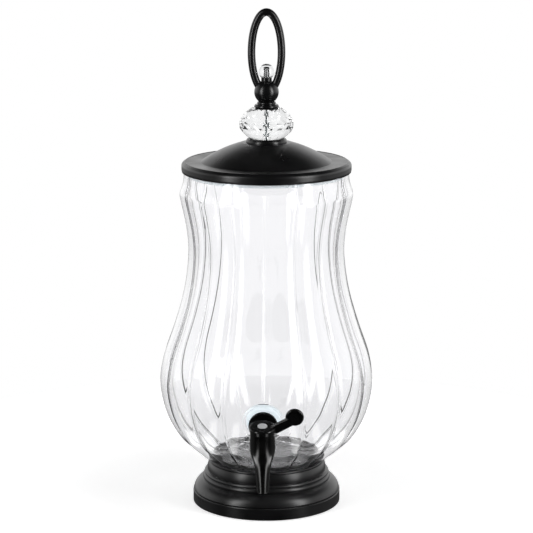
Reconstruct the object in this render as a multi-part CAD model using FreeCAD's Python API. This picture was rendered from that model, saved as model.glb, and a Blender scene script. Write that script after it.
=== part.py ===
import FreeCAD, Part
import math
import os

# A footed glass drink dispenser: a fluted hurricane-shaped jar on a stepped metal base,
# a domed metal lid with a crystal finial and a ring handle, and a quarter-turn spigot.
# Millimetres. +Z is up, the origin is the middle of the base's underside, the spigot faces -Y.

Vector = FreeCAD.Vector
UP = Vector(0, 0, 1)
CENTRE = Vector(0, 0, 0)
FULL_TURN = 360.0

# ---- base: pad, closing plate and hollow stepped shell
base_radius = 80.0
base_wall = 2.0
pad_thick = 2.6
pad_inset = 3.2
plate_thick = 1.2
shell_lift = 0.8
band_height = 12.7
band_edge = 1.0
band_groove = 1.4
band_groove_depth = 0.6
shoulder_inset = 0.8
shoulder_bulge = 1.7
shoulder_height = 10.5
tier_radius = 69.0
tier_step = 1.0
tier_bulge = 1.0
tier_height = 5.2
tier_groove_radius = 67.5
bead_bulge = 0.7
bead_height = 3.4
bead_top_radius = 66.4
cup_step = 0.5
cup_low_radius = 64.4
cup_bulge = 0.6
cup_height = 9.8
lip_groove = 0.9
lip_radius = 62.6
lip_height = 1.8
lip_bulge = 0.45
recess_radius = 60.2
recess_depth = 10.0
floor_thick = 2.0

# ---- seat between the base and the jar
seat_thick = 1.5
seat_gap = 1.2
foot_gap = 1.0

# ---- glass jar. Each row of the wall is its share of the way from the foot to the neck
# bead, its crest radius and its crease depth. The neck's and the rim's radii are measured
# from the mouth's, and the rim's rows lie so far below the rim.
flute_count = 16
wall_stations = 26
foot_height = 8.5
foot_crease = 0.4
foot_blend = 0.3
push_up_radius = 49.0
push_up_height = 3.2
jar_height = 332.2
wall_thick = 4.2
inner_crease_share = 0.9
jar_floor = 13.5
bead_to_rim = 30.7
neck_share = 0.66
wall_rows = [
    (0.020, 70.2, 2.0),
    (0.048, 80.3, 2.6),
    (0.082, 91.3, 3.0),
    (0.123, 99.8, 3.1),
    (0.178, 108.0, 3.2),
    (0.246, 113.6, 3.2),
    (0.314, 115.5, 3.2),
    (0.399, 111.4, 3.1),
    (0.502, 101.0, 2.9),
    (0.604, 92.0, 2.7),
    (0.689, 86.8, 2.5),
    (0.782, 84.1, 2.4),
]
neck_rows = [
    (0.860, -2.5, 2.3),
    (0.928, 1.1, 2.2),
    (0.969, 3.8, 2.1),
    (1.000, 5.2, 2.0),
]
rim_rows = [
    (23.7, 3.0, 1.4),
    (15.7, 0.9, 0.8),
]
mouth_radius = 87.8

# ---- spigot seat in the jar's wall
spigot_height = 77.5
boss_radius = 21.8
boss_proud = 0.8
spigot_lean = 14.0
boss_thick = 8.5
inner_boss_radius = 18.5
stem_radius = 7.5
stem_hole_gap = 0.7
seat_search_end = 1e-9

# ---- spigot: stem, flange, washers and lock nut. The washer inside the jar is the wider
# one, so that it hides the nut behind it.
washer_thick = 2.0
washer_radius = 14.6
seal_radius = 17.6
flange_radius = 15.3
flange_thick = 2.8
flange_step_radius = 11.4
flange_step_thick = 2.2
neck_radius = 6.6
flow_radius = 4.0
nut_width = 22.0
nut_thick = 6.0
stem_spare = 3.0
stem_chamfer = 0.8

# ---- spigot: barrel, spout, valve and lever
barrel_reach = 26.0
barrel_rise = 12.5
barrel_top_radius = 12.7
barrel_radius = 13.5
barrel_radius_depth = 16.0
barrel_low_depth = 29.0
barrel_low_radius = 13.1
throat_depth = 40.0
throat_radius = 10.1
spout_neck_depth = 50.0
spout_neck_radius = 8.4
spout_mid_depth = 64.0
spout_mid_radius = 7.0
spout_depth = 77.5
spout_lip_round = 0.7
spout_radius = 6.4
spout_bore_radius = 4.9
plug_radius = 8.0
running_gap = 0.05
plug_top_gap = 0.6
plug_length = 15.4
plug_seat_drop = 0.4
plug_neck_radius = 3.9
plug_bore_roof = 0.2
o_ring_section = 0.8
o_ring_squeeze = 0.02
o_ring_upper_depth = 7.6
o_ring_lower_depth = 18.6
hub_radius = 13.5
hub_height = 5.0
hub_gap = 0.3
hub_edge = 1.4
hub_ring_inner = 5.6
hub_ring_outer = 6.9
hub_ring_depth = 1.0
arm_thick = 5.0
arm_edge = 0.8
arm_root = 9.0
arm_clearance = 0.7
arm_drop = 2.8
arm_rise = 3.0
arm_end = 31.0
arm_end_low = 14.7
arm_end_high = 25.3
paddle_reach = 33.1
paddle_lift = 23.6
paddle_radius = 9.45
paddle_thick = 4.4
paddle_edge = 1.5
paddle_dish_radius = 7.2
paddle_dish_depth = 0.7
screw_radius = 1.5
screw_length = 4.8
screw_head_radius = 2.8
screw_head_height = 1.5
button_radius = 5.0
button_pocket = 2.6
button_gap = 0.05
button_skirt = 1.7
button_dome = 1.1

# ---- lid: gasket, collar and spun shell
lid_wall = 1.2
gasket_thick = 1.6
gasket_fit = 1.2
gasket_skirt = 2.0
gasket_depth = 12.0
gasket_rim_margin = 0.8
collar_wall = 2.0
collar_depth = 10.0
lid_overhang = 2.7
lid_skirt_gap = 1.2
lid_skirt_depth = 10.6
lid_shoulder = 2.1
lid_edge_drop = 4.4
lid_flat_drop = 4.0
brim_ridge = 0.4
brim_ridge_inset = 1.2
dome_foot_inset = 19.0
dome_foot_rise = 0.5
dome_mid_radius = 46.0
dome_mid_rise = 13.2
dome_top_radius = 26.0
dome_rise = 20.4

# ---- finial, from the lid up
rod_radius = 2.0
rod_bore = 0.6
rod_tail = 1.4
lid_washer_radius = 8.0
lid_washer_thick = 1.2
lid_nut_width = 7.0
lid_nut_thick = 3.2
cup_radius = 21.7
cup_height_above = 4.8
cup_round = 3.6
cup_dish_radius = 17.6
cup_dish_depth = 0.3
crystal_radius = 28.8
crystal_sides = 16
crystal_rows = [
    (0.0, 17.2),
    (2.6, 21.4),
    (6.9, 26.0),
    (11.8, crystal_radius),
    (17.6, crystal_radius),
    (23.3, 26.2),
    (28.1, 21.8),
    (32.2, 16.2),
]
collar_radius = 13.0
collar_flange = 3.8
collar_flange_edge = 1.2
collar_groove_radius = 9.6
collar_groove = 0.6
collar_bead_bulge = 0.9
collar_height = 7.0
ball_radius = 13.0
ball_seat_radius = 8.3
rod_in_ball = 7.5
ring_rod_radius = 4.1
ring_half_width = 15.8
ring_half_height = 42.05
bead_seat_radius = 5.6
bead_seat_rise = 2.6
bead_radius = 8.4
bead_sink = 2.6
bead_pin_radius = 2.1
bead_pin_depth = 11.0

# ---- heights and radii that follow from the sizes above
band_top = shell_lift + band_height
shoulder_top = band_top + band_groove + shoulder_height
tier_low = shoulder_top + tier_step
tier_groove_height = tier_low + tier_height
bead_top = tier_groove_height + bead_height
cup_low = bead_top + cup_step
cup_top_height = cup_low + cup_height
rim_height = cup_top_height + lip_groove + lip_height
recess_floor = rim_height - recess_depth
foot_radius = recess_radius - foot_gap
foot_z = recess_floor + seat_thick
jar_top = foot_z + jar_height
brim_under = jar_top + gasket_thick
brim_top = brim_under + lid_wall
dome_top = brim_top + dome_rise
cup_top = dome_top + cup_height_above
crystal_bottom = cup_top - cup_dish_depth
crystal_top = crystal_bottom + crystal_rows[-1][0]
collar_top = crystal_top + collar_height
ball_centre = collar_top + math.sqrt(ball_radius ** 2 - ball_seat_radius ** 2)
ring_centre = ball_centre + ring_half_height
bead_seat_top = ball_centre + ball_radius + bead_seat_rise
bead_centre = bead_seat_top + bead_radius - bead_sink
bead_pin_top = bead_centre - bead_radius + bead_pin_depth
mouth_bore = mouth_radius - wall_thick
lid_radius = mouth_radius + lid_overhang
brim_ridge_radius = mouth_radius - brim_ridge_inset
dome_foot_radius = mouth_radius - dome_foot_inset
quarter_bulge = 1 - math.sqrt(0.5)


# ---- small builders shared by the pieces
def point(radius, height):
    return Vector(radius, 0, height)


def line(start, end):
    return Part.LineSegment(start, end).toShape()


def arc(start, middle, end):
    return Part.Arc(start, middle, end).toShape()


def bulged(start, end, bulge):
    """An arc whose middle stands out of its chord, outwards on a path that runs upwards."""
    chord = end - start
    side = Vector(chord.z, 0, -chord.x).normalize()
    return arc(start, (start + end) / 2 + side * bulge, end)


def path(points):
    return [line(a, b) for a, b in zip(points, points[1:])]


def turned(edges):
    """A solid turned about Z from a closed half outline in the XZ plane."""
    face = Part.Face(Part.Wire(edges))
    return face.revolve(CENTRE, UP, FULL_TURN)


def turned_path(points):
    return turned(path(points + points[:1]))


def disc(radius, bottom, top):
    return Part.makeCylinder(radius, top - bottom, Vector(0, 0, bottom))


def ring(inner, outer, bottom, top):
    return disc(outer, bottom, top).cut(disc(inner, bottom, top))


def rod_along_y(radius, start, end):
    return Part.makeCylinder(radius, end - start, Vector(0, start, 0), Vector(0, 1, 0))


def ring_along_y(inner, outer, start, end):
    return rod_along_y(outer, start, end).cut(rod_along_y(inner, start, end))


def hexagon_prism(width, bottom, top):
    corner = width / 2 / math.cos(math.pi / 6)
    corners = [
        Vector(corner * math.cos(k * math.pi / 3), corner * math.sin(k * math.pi / 3), bottom)
        for k in range(7)
    ]
    return Part.Face(Part.makePolygon(corners)).extrude(Vector(0, 0, top - bottom))


def smooth_curve(points):
    curve = Part.BSplineCurve()
    curve.interpolate(points)
    return curve


def one_solid(shape):
    """The single solid of a boolean result, with its seams cleaned."""
    return shape.removeSplitter().Solids[0]


# ---- base
def base_pad():
    return disc(base_radius - pad_inset, 0, pad_thick)


def base_plate():
    return disc(base_radius - base_wall, pad_thick, pad_thick + plate_thick)


def base_outline():
    """The outside of the base: foot band, ovolo shoulder, double-bead tier, cup and lip."""
    band_low = point(base_radius, shell_lift)
    band_high = point(base_radius, band_top - band_edge)
    band_in = point(base_radius - band_edge, band_top)
    shoulder_low = point(base_radius - shoulder_inset, band_top + band_groove)
    groove_in = point(shoulder_low.x - band_groove_depth, band_top)
    shoulder_high = point(tier_radius + tier_step * 2, shoulder_top)
    tier_start = point(tier_radius, tier_low)
    tier_groove = point(tier_groove_radius, tier_groove_height)
    bead_high = point(bead_top_radius, bead_top)
    cup_start = point(cup_low_radius, cup_low)
    cup_high = point(lip_radius, cup_top_height)
    lip_groove_in = point(lip_radius - lip_groove, cup_top_height + lip_groove / 2)
    lip_low = point(lip_radius, cup_top_height + lip_groove)
    lip_high = point(lip_radius - lip_groove, rim_height)
    return [
        line(band_low, band_high),
        bulged(band_high, band_in, band_edge * quarter_bulge),
        line(band_in, groove_in),
        line(groove_in, shoulder_low),
        bulged(shoulder_low, shoulder_high, shoulder_bulge),
        line(shoulder_high, tier_start),
        bulged(tier_start, tier_groove, tier_bulge),
        bulged(tier_groove, bead_high, bead_bulge),
        line(bead_high, cup_start),
        bulged(cup_start, cup_high, cup_bulge),
        line(cup_high, lip_groove_in),
        line(lip_groove_in, lip_low),
        bulged(lip_low, lip_high, lip_bulge),
        line(lip_high, point(recess_radius, rim_height)),
    ]


def base_shell():
    """The hollow pressing: its inside follows the steps of its outside one wall in."""
    cup_inside = point(lip_radius - base_wall * 2, recess_floor - floor_thick)
    tier_inside = point(tier_groove_radius - base_wall, tier_groove_height - base_wall)
    inside = path([
        point(recess_radius, rim_height),
        point(recess_radius, recess_floor),
        point(0, recess_floor),
        point(0, recess_floor - floor_thick),
        cup_inside,
        point(cup_inside.x, bead_top - base_wall),
        point(bead_top_radius - base_wall, bead_top - base_wall * 1.2),
        tier_inside,
        point(tier_inside.x, shoulder_top - base_wall),
        point(base_radius - shoulder_inset - base_wall * 2, band_top),
        point(base_radius - base_wall, band_top - base_wall),
        point(base_radius - base_wall, shell_lift),
        point(base_radius, shell_lift),
    ])
    return turned(base_outline() + inside)


def seat_pad():
    return disc(recess_radius - seat_gap, recess_floor, foot_z)


# ---- glass jar
def wall_curve():
    """Crest radius (x), crease depth (y) and height (z) of the fluted wall on one curve."""
    bead_height = jar_height - bead_to_rim
    rise = bead_height - foot_height
    spots = [Vector(foot_radius + foot_blend, foot_crease, foot_height)]
    spots += [Vector(r, crease, foot_height + share * rise) for share, r, crease in wall_rows]
    for share, over, crease in neck_rows:
        spots.append(Vector(mouth_radius + over, crease, foot_height + share * rise))
    for drop, over, crease in rim_rows:
        spots.append(Vector(mouth_radius + over, crease, jar_height - drop))
    return smooth_curve(spots + [Vector(mouth_radius, 0, jar_height)])


def wall_parameters(curve):
    first, last = curve.FirstParameter, curve.LastParameter
    return [first + (last - first) * k / (wall_stations - 1) for k in range(wall_stations)]


def outward(curve, parameter):
    """The wall's outward normal in the (radius, height) plane."""
    tangent = curve.tangent(parameter)[0]
    return Vector(tangent.z, 0, -tangent.x).normalize()


def fluted_wire(radius, crease, height):
    """One arc per flute, from crease to crease over its crest."""
    pitch = 2 * math.pi / flute_count

    def at(reach, turn):
        angle = -math.pi / 2 + turn * pitch
        return Vector(reach * math.cos(angle), reach * math.sin(angle), height)

    valley = radius - crease
    return Part.Wire([
        arc(at(valley, k), at(radius, k + 0.5), at(valley, k + 1)) for k in range(flute_count)
    ])


def outer_body(curve):
    wires = []
    for parameter in wall_parameters(curve):
        spot = curve.value(parameter)
        wires.append(fluted_wire(spot.x, max(spot.y, 0.0), spot.z))
    wall = Part.makeLoft(wires, True, False)
    return wall.fuse(disc(foot_radius, 0, foot_height + foot_blend))


def inner_body(curve):
    """The hollow: the same wall set in by the glass thickness, closed by the flat floor."""
    wires = []
    for parameter in wall_parameters(curve):
        spot = curve.value(parameter)
        inset = spot - outward(curve, parameter) * wall_thick
        crease = max(spot.y, 0.0) * inner_crease_share
        wires.append(fluted_wire(inset.x, crease, inset.z))
    top = curve.value(curve.LastParameter)
    wires.append(fluted_wire(mouth_bore, 0.0, top.z + wall_thick))
    hollow = Part.makeLoft(wires, True, False)
    below_floor = disc(mouth_radius * 2, -jar_height, jar_floor)
    return hollow.cut(below_floor)


def spigot_seat(curve):
    """The middle of the spigot's seat, a little proud of the wall's crest at its height."""
    low, high = curve.FirstParameter, curve.LastParameter
    while high - low > seat_search_end:
        middle = (low + high) / 2
        if curve.value(middle).z < spigot_height:
            low = middle
        else:
            high = middle
    face = curve.value(low) + outward(curve, low) * boss_proud
    return Vector(0, -face.x, foot_z + face.z)


WALL = wall_curve()
SPIGOT_TILT = FreeCAD.Rotation(Vector(1, 0, 0), spigot_lean)
SPIGOT_FRAME = FreeCAD.Placement(spigot_seat(WALL), SPIGOT_TILT)


def on_spigot(shape):
    """Moves a shape drawn with its stem along Y and its barrel along Z to its leaning seat."""
    placed = shape.copy()
    placed.Placement = SPIGOT_FRAME.multiply(placed.Placement)
    return placed


def pressed_glass():
    """The whole jar in one: fluted wall, floor, foot, and the drilled boss for the spigot."""
    outside = outer_body(WALL)
    hollow = inner_body(WALL)
    lift = Vector(0, 0, foot_z)
    outside.translate(lift)
    hollow.translate(lift)
    boss = on_spigot(rod_along_y(boss_radius, 0, boss_thick))
    inner_boss = on_spigot(rod_along_y(inner_boss_radius, 0, boss_thick))
    spot_face = on_spigot(rod_along_y(inner_boss_radius, boss_thick, boss_thick + wall_thick))
    hole = on_spigot(rod_along_y(stem_radius + stem_hole_gap, -boss_thick, boss_thick * 3))
    push_up = disc(push_up_radius, foot_z - 1, foot_z + push_up_height)
    glass = outside.fuse(boss).cut(hollow.cut(inner_boss))
    return one_solid(glass.cut(spot_face).cut(hole).cut(push_up))


GLASS = pressed_glass()
floor_level = foot_z + jar_floor
neck_level = foot_z + foot_height + neck_share * (jar_height - bead_to_rim - foot_height)


def glass_between(bottom, top):
    """One height of the jar, between two flat planes."""
    return one_solid(GLASS.common(disc(mouth_radius * 2, bottom, top)))


def glass_foot():
    return glass_between(foot_z, floor_level)


def glass_belly():
    return glass_between(floor_level, neck_level)


def glass_neck():
    return glass_between(neck_level, jar_top)


# ---- spigot, drawn with the stem's axis on Y and the boss face at y = 0
flange_back = -washer_thick
flange_front = flange_back - flange_thick
step_front = flange_front - flange_step_thick
nut_start = boss_thick + washer_thick
nut_end = nut_start + nut_thick
stem_end = nut_end + stem_spare
barrel_bore = plug_radius + running_gap
hub_bottom = barrel_rise - hub_height
barrel_top = hub_bottom - hub_gap
plug_top = barrel_top - plug_top_gap
plug_bottom = plug_top - plug_length
plug_seat = plug_bottom - plug_seat_drop
neck_top = barrel_rise - button_pocket


def on_barrel(shape):
    """Moves a shape drawn about Z onto the barrel's axis."""
    placed = shape.copy()
    placed.translate(Vector(0, -barrel_reach, 0))
    return placed


def outer_washer():
    return on_spigot(ring_along_y(stem_radius, washer_radius, flange_back, 0))


def inner_washer():
    return on_spigot(ring_along_y(stem_radius, seal_radius, boss_thick, nut_start))


def lock_nut():
    prism = hexagon_prism(nut_width, 0, nut_thick)
    nut = prism.cut(disc(stem_radius, 0, nut_thick))
    nut.rotate(CENTRE, Vector(1, 0, 0), -90)
    nut.translate(Vector(0, nut_start, 0))
    return on_spigot(nut)


def barrel_outline():
    """The barrel's outside, from its open top down to the lip of the spout."""
    rows = [
        (barrel_rise - barrel_top, barrel_top_radius),
        (barrel_radius_depth, barrel_radius),
        (barrel_low_depth, barrel_low_radius),
        (throat_depth, throat_radius),
        (spout_neck_depth, spout_neck_radius),
        (spout_mid_depth, spout_mid_radius),
        (spout_depth - spout_lip_round, spout_radius),
    ]
    return smooth_curve([point(radius, barrel_rise - depth) for depth, radius in rows])


def barrel():
    side = barrel_outline()
    top = side.value(side.FirstParameter)
    tip = side.value(side.LastParameter)
    lip_low = point(tip.x - spout_lip_round, tip.z - spout_lip_round)
    lean = spout_lip_round * math.sqrt(0.5)
    lip_mid = point(lip_low.x + lean, lip_low.z + spout_lip_round - lean)
    profile = [side.toShape(), arc(tip, lip_mid, lip_low), line(lip_low, point(0, lip_low.z))]
    profile.append(line(point(0, lip_low.z), point(0, top.z)))
    return on_barrel(turned(profile + [line(point(0, top.z), top)]))


def barrel_hollow():
    tip = barrel_rise - spout_depth
    return on_barrel(turned_path([
        point(0, barrel_top),
        point(barrel_bore, barrel_top),
        point(barrel_bore, plug_seat),
        point(spout_bore_radius, plug_seat - barrel_bore + spout_bore_radius),
        point(spout_bore_radius, tip),
        point(0, tip),
    ]))


def stem_and_flange():
    stem = rod_along_y(stem_radius, flange_back, stem_end)
    stem = stem.makeChamfer(stem_chamfer, [e for e in stem.Edges if e.BoundBox.YMin > nut_end])
    flange = rod_along_y(flange_radius, flange_front, flange_back)
    step = rod_along_y(flange_step_radius, step_front, flange_front)
    neck = rod_along_y(neck_radius, -barrel_reach, step_front)
    return stem.fuse([flange, step, neck])


def spigot_body():
    body = barrel().fuse(stem_and_flange())
    body = body.cut(barrel_hollow())
    return on_spigot(one_solid(body.cut(rod_along_y(flow_radius, -barrel_reach, stem_end))))


def o_ring(depth):
    radius = plug_radius - o_ring_section
    torus = Part.makeTorus(radius, o_ring_section, Vector(0, 0, barrel_rise - depth), UP)
    return on_barrel(torus)


def o_ring_groove(depth):
    floor = plug_radius - 2 * o_ring_section - o_ring_squeeze
    middle = barrel_rise - depth
    half = o_ring_section + o_ring_squeeze
    return ring(floor, plug_radius * 2, middle - half, middle + half)


def valve_o_rings():
    rings = [on_spigot(o_ring(depth)) for depth in (o_ring_upper_depth, o_ring_lower_depth)]
    return Part.makeCompound(rings)


def valve_plug():
    """The turning plug: open below, with a side port that faces the stem when it is open."""
    plug = disc(plug_radius, plug_bottom, plug_top)
    plug = plug.fuse(disc(plug_neck_radius, plug_top, neck_top))
    plug = plug.cut(disc(flow_radius, plug_bottom, flow_radius + plug_bore_roof))
    port = Part.makeCylinder(flow_radius, plug_radius * 2, CENTRE, Vector(-1, 0, 0))
    plug = plug.cut(port)
    for depth in (o_ring_upper_depth, o_ring_lower_depth):
        plug = plug.cut(o_ring_groove(depth))
    plug = plug.cut(disc(screw_radius, neck_top - screw_length, neck_top))
    return on_spigot(on_barrel(one_solid(plug)))


def lever_hub():
    hub = disc(hub_radius, hub_bottom, barrel_rise)
    top_edges = [e for e in hub.Edges if e.BoundBox.ZMin > barrel_rise - 0.01]
    hub = hub.makeFillet(hub_edge, top_edges)
    hub = hub.cut(disc(plug_neck_radius, hub_bottom, neck_top))
    hub = hub.cut(disc(button_radius + button_gap, neck_top, barrel_rise))
    groove_floor = barrel_rise - hub_ring_depth
    return hub.cut(ring(hub_ring_inner, hub_ring_outer, groove_floor, barrel_rise))


def lever_arm():
    """An upright blade from the hub, over and beside the barrel, up to the paddle."""
    outside = barrel_radius + arm_clearance
    corners = [
        Vector(arm_root, 0, hub_bottom),
        Vector(outside, 0, hub_bottom),
        Vector(outside, 0, hub_bottom - arm_drop),
        Vector(arm_end, 0, arm_end_low),
        Vector(arm_end, 0, arm_end_high),
        Vector(hub_radius, 0, barrel_rise + arm_rise),
        Vector(arm_root, 0, barrel_rise),
    ]
    blade = Part.Face(Part.makePolygon(corners + corners[:1]))
    blade = blade.extrude(Vector(0, arm_thick, 0))
    blade.translate(Vector(0, -arm_thick / 2, 0))
    long_edges = [e for e in blade.Edges if e.Length > paddle_radius and e.BoundBox.YLength < 0.01]
    return blade.makeFillet(arm_edge, long_edges)


def lever_paddle():
    half = paddle_thick / 2
    paddle = rod_along_y(paddle_radius, -half, half)
    rims = [e for e in paddle.Edges if e.BoundBox.YLength < 0.01]
    paddle = paddle.makeFillet(paddle_edge, rims)
    paddle.translate(Vector(paddle_reach, 0, paddle_lift))
    return paddle


def paddle_dish():
    dish = rod_along_y(paddle_dish_radius, -paddle_thick, paddle_dish_depth - paddle_thick / 2)
    dish.translate(Vector(paddle_reach, 0, paddle_lift))
    return dish


def spigot_lever():
    lever = lever_hub().fuse([lever_arm(), lever_paddle()]).cut(paddle_dish())
    return on_spigot(on_barrel(one_solid(lever)))


def lever_screw():
    head_top = neck_top + screw_head_height
    screw = disc(screw_radius, neck_top - screw_length, neck_top)
    screw = screw.fuse(disc(screw_head_radius, neck_top, head_top))
    return on_spigot(on_barrel(one_solid(screw)))


def lever_button():
    bottom = neck_top + screw_head_height
    shoulder = bottom + button_skirt
    crown = shoulder + button_dome
    sphere = (button_radius ** 2 + button_dome ** 2) / (2 * button_dome)
    cap = Part.makeSphere(sphere, point(0, crown - sphere))
    return on_spigot(on_barrel(disc(button_radius, bottom, crown).common(cap)))


# ---- lid
gasket_outer = mouth_bore - gasket_fit
gasket_inner = gasket_outer - gasket_skirt
skirt_inner = mouth_radius + lid_skirt_gap
skirt_bottom = brim_top - lid_skirt_depth


def lid_gasket():
    skirt = ring(gasket_inner, gasket_outer, jar_top - gasket_depth, jar_top)
    flange = ring(gasket_inner, mouth_radius - gasket_rim_margin, jar_top, brim_under)
    return one_solid(skirt.fuse(flange))


def lid_collar():
    bottom = jar_top - collar_depth
    return ring(gasket_inner - collar_wall, gasket_inner, bottom, brim_under)


def set_in(points, distance):
    """An arc's three points moved towards the arc's own centre."""
    centre = arc(*points).Curve.Center
    return [p + (centre - p).normalize() * distance for p in points]


def dome_arc():
    return [
        point(dome_foot_radius, brim_top + dome_foot_rise),
        point(dome_mid_radius, brim_top + dome_mid_rise),
        point(dome_top_radius, dome_top),
    ]


def lid_shell():
    """One spun skin: flat crown, dome, brim with a ridge, and a turned-down skirt."""
    outside = dome_arc()
    inside = set_in(outside, lid_wall)
    crown_under = dome_top - lid_wall
    ridge_in = point(brim_ridge_radius - brim_ridge * 2, brim_top)
    ridge_top = point(brim_ridge_radius, brim_top + brim_ridge)
    shoulder_in = point(lid_radius - lid_shoulder, brim_top - brim_ridge * 2)
    shoulder_mid = point(lid_radius - lid_shoulder * 0.3, brim_top - lid_shoulder)
    side_high = point(lid_radius, brim_top - lid_edge_drop)
    side_low = point(lid_radius, side_high.z - lid_flat_drop)
    hem = point(skirt_inner + lid_wall * 0.8, skirt_bottom)
    edges = [
        line(point(0, dome_top), outside[2]),
        arc(outside[2], outside[1], outside[0]),
        line(outside[0], point(dome_foot_radius + dome_foot_rise * 2, brim_top)),
        line(point(dome_foot_radius + dome_foot_rise * 2, brim_top), ridge_in),
        line(ridge_in, ridge_top),
        line(ridge_top, shoulder_in),
        arc(shoulder_in, shoulder_mid, side_high),
        line(side_high, side_low),
        line(side_low, hem),
    ]
    edges += path([
        hem,
        point(skirt_inner, skirt_bottom),
        point(skirt_inner, brim_under - lid_wall),
        point(skirt_inner - lid_wall, brim_under),
        point(inside[0].x, brim_under),
        inside[0],
    ])
    edges += [
        arc(*inside),
        line(inside[2], point(inside[2].x, crown_under)),
        line(point(inside[2].x, crown_under), point(0, crown_under)),
        line(point(0, crown_under), point(0, dome_top)),
    ]
    shell = turned([e for e in edges if e.Length > 1e-6])
    return one_solid(shell.cut(disc(rod_radius, crown_under - 1, dome_top + 1)))


# ---- finial
def lid_washer():
    top = dome_top - lid_wall
    return ring(rod_radius, lid_washer_radius, top - lid_washer_thick, top)


def lid_nut():
    top = dome_top - lid_wall - lid_washer_thick
    bottom = top - lid_nut_thick
    return hexagon_prism(lid_nut_width, bottom, top).cut(disc(rod_radius, bottom, top))


def finial_rod():
    bottom = dome_top - lid_wall - lid_washer_thick - lid_nut_thick - rod_tail
    return disc(rod_radius, bottom, collar_top + rod_in_ball)


def finial_cup():
    side = point(cup_radius, cup_top - cup_round)
    lip = point(cup_radius - cup_round, cup_top)
    edges = path([point(rod_radius, dome_top), point(cup_radius, dome_top), side])
    edges.append(bulged(side, lip, cup_round * quarter_bulge))
    edges += path([
        lip,
        point(cup_dish_radius, crystal_bottom),
        point(rod_radius, crystal_bottom),
        point(rod_radius, dome_top),
    ])
    return turned(edges)


def crystal_ring(index):
    """The corners of one row of facets; odd rows are turned by half a facet."""
    height, radius = crystal_rows[index]
    step = 2 * math.pi / crystal_sides
    turns = [(k + 0.5 * (index % 2)) * step for k in range(crystal_sides)]
    return [Vector(radius * math.cos(t), radius * math.sin(t), height) for t in turns]


def flat_face(corners):
    return Part.Face(Part.makePolygon(corners + corners[:1]))


def crystal_rondelle():
    """A cut glass bead: staggered rows of triangular facets between two flat ends."""
    rows = [crystal_ring(k) for k in range(len(crystal_rows))]
    faces = [flat_face(rows[0]), flat_face(rows[-1])]
    for index in range(len(rows) - 1):
        low, high = rows[index], rows[index + 1]
        shift = index % 2
        for k in range(crystal_sides):
            after = (k + 1) % crystal_sides
            upper = high[(k + shift) % crystal_sides]
            faces.append(flat_face([low[k], low[after], upper]))
            lower = low[(k + 1 - shift) % crystal_sides]
            faces.append(flat_face([high[k], high[after], lower]))
    bead = Part.makeSolid(Part.makeShell(faces))
    bead = bead.cut(disc(rod_radius + rod_bore, -1, crystal_rows[-1][0] + 1))
    bead.translate(Vector(0, 0, crystal_bottom))
    return one_solid(bead)


def finial_collar():
    """A rounded flange on the crystal, then a bead in a groove under the ball."""
    foot = point(collar_radius - collar_flange_edge, crystal_top)
    flange_top = point(collar_radius - collar_flange_edge, crystal_top + collar_flange)
    groove = point(collar_groove_radius, flange_top.z)
    bead_low = point(collar_groove_radius, flange_top.z + collar_groove)
    bead_high = point(ball_seat_radius, collar_top)
    edges = path([point(rod_radius, crystal_top), foot])
    edges.append(bulged(foot, flange_top, collar_flange_edge))
    edges += path([flange_top, groove, bead_low])
    edges.append(bulged(bead_low, bead_high, collar_bead_bulge))
    edges += path([bead_high, point(rod_radius, collar_top), point(rod_radius, crystal_top)])
    return turned(edges)


def ball_sphere():
    return Part.makeSphere(ball_radius, Vector(0, 0, ball_centre))


def finial_ball():
    ball = ball_sphere().cut(disc(ball_radius, ball_centre - ball_radius, collar_top))
    return one_solid(ball.cut(disc(rod_radius, collar_top - 1, collar_top + rod_in_ball)))


def ring_handle():
    """A round rod bent into an upright ellipse; its foot is brazed onto the ball."""
    middle = Vector(0, 0, ring_centre)
    top = middle + Vector(0, 0, ring_half_height)
    side = middle + Vector(ring_half_width, 0, 0)
    ellipse = Part.Ellipse(top, side, middle)
    route = Part.Wire(ellipse.toShape())
    start = ellipse.value(0)
    along = ellipse.tangent(0)[0]
    section = Part.Wire(Part.Circle(start, along, ring_rod_radius).toShape())
    hoop = route.makePipeShell([section], True, True)
    return hoop.cut(ball_sphere()).Solids[0]


def bead_pin():
    return disc(bead_pin_radius, ball_centre, bead_pin_top)


def crystal_bead():
    """A round bead, drilled from below for the pin of its seat."""
    return one_solid(Part.makeSphere(bead_radius, Vector(0, 0, bead_centre)).cut(bead_pin()))


def bead_seat():
    seat = disc(bead_seat_radius, ball_centre, bead_seat_top).fuse(bead_pin())
    return one_solid(seat.cut(ball_sphere()).cut(crystal_bead()))


# ---- every piece, by the name of its node
PIECES = {
    "base_pad": base_pad,
    "base_plate": base_plate,
    "base_shell": base_shell,
    "seat_pad": seat_pad,
    "glass_foot": glass_foot,
    "glass_belly": glass_belly,
    "glass_neck": glass_neck,
    "spigot_body": spigot_body,
    "outer_washer": outer_washer,
    "inner_washer": inner_washer,
    "lock_nut": lock_nut,
    "valve_plug": valve_plug,
    "valve_o_rings": valve_o_rings,
    "spigot_lever": spigot_lever,
    "lever_screw": lever_screw,
    "lever_button": lever_button,
    "lid_shell": lid_shell,
    "lid_gasket": lid_gasket,
    "lid_collar": lid_collar,
    "lid_washer": lid_washer,
    "lid_nut": lid_nut,
    "finial_rod": finial_rod,
    "finial_cup": finial_cup,
    "crystal_rondelle": crystal_rondelle,
    "finial_collar": finial_collar,
    "finial_ball": finial_ball,
    "ring_handle": ring_handle,
    "bead_seat": bead_seat,
    "crystal_bead": crystal_bead,
}

os.makedirs("parts", exist_ok=True)
for name, build in PIECES.items():
    shape = build()
    shape.exportStep(f"parts/{name}.step")
    box = shape.optimalBoundingBox()
    print(f"{name:18s} solids {len(shape.Solids)} valid {shape.isValid()}"
          f" volume {shape.Volume:10.1f} z {box.ZMin:7.2f} to {box.ZMax:7.2f}")

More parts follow.
